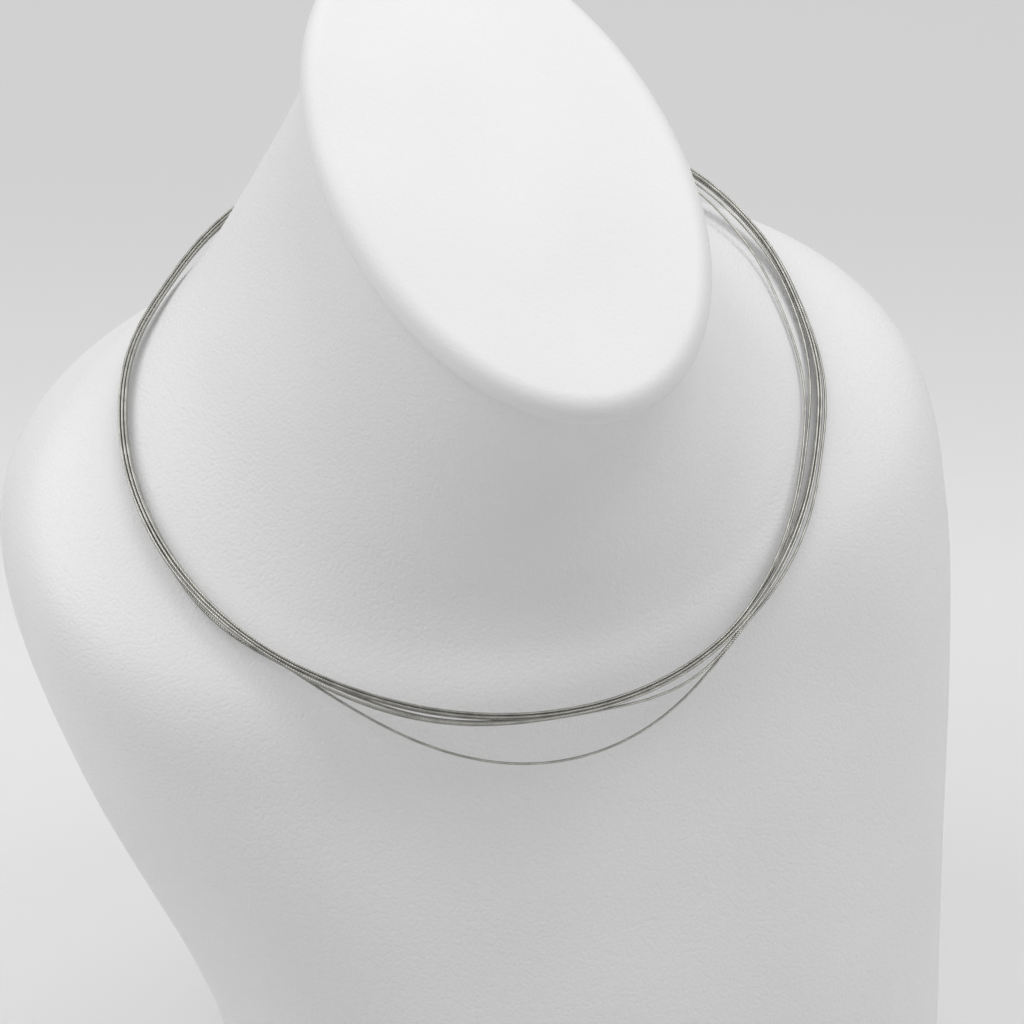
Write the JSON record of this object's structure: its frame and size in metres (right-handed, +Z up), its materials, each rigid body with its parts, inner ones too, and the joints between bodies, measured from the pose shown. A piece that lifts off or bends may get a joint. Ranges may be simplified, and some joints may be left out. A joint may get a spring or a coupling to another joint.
{
  "type": "multi-strand cable necklace on neck bust",
  "caption": "Close-fitting necklace of fine twisted steel cables on a barrel clasp, worn on a plain leatherette neck bust with a padded oval top.",
  "frame": {"origin": "middle of the bust's footprint, on the surface it stands on", "axes": "+Z up, the bust looks along -Y, +X to the left hand of someone wearing the necklace"},
  "size_m": [0.1888, 0.2109, 0.2565],
  "materials": {
    "leatherette": "white leatherette with a fine pebble grain",
    "polished_steel": "polished stainless steel",
    "steel_cable": "bright twisted stainless steel wires"
  },
  "bodies": {
    "root": {"bust_form": "leatherette", "neck_pad": "leatherette", "clasp": "polished_steel", "cable_1": "steel_cable", "cable_2": "steel_cable", "cable_3": "steel_cable", "cable_4": "steel_cable", "cable_5": "steel_cable", "cable_6": "steel_cable", "cable_7": "steel_cable", "cable_8": "steel_cable", "cable_9": "steel_cable"}
  },
  "joints": []
}
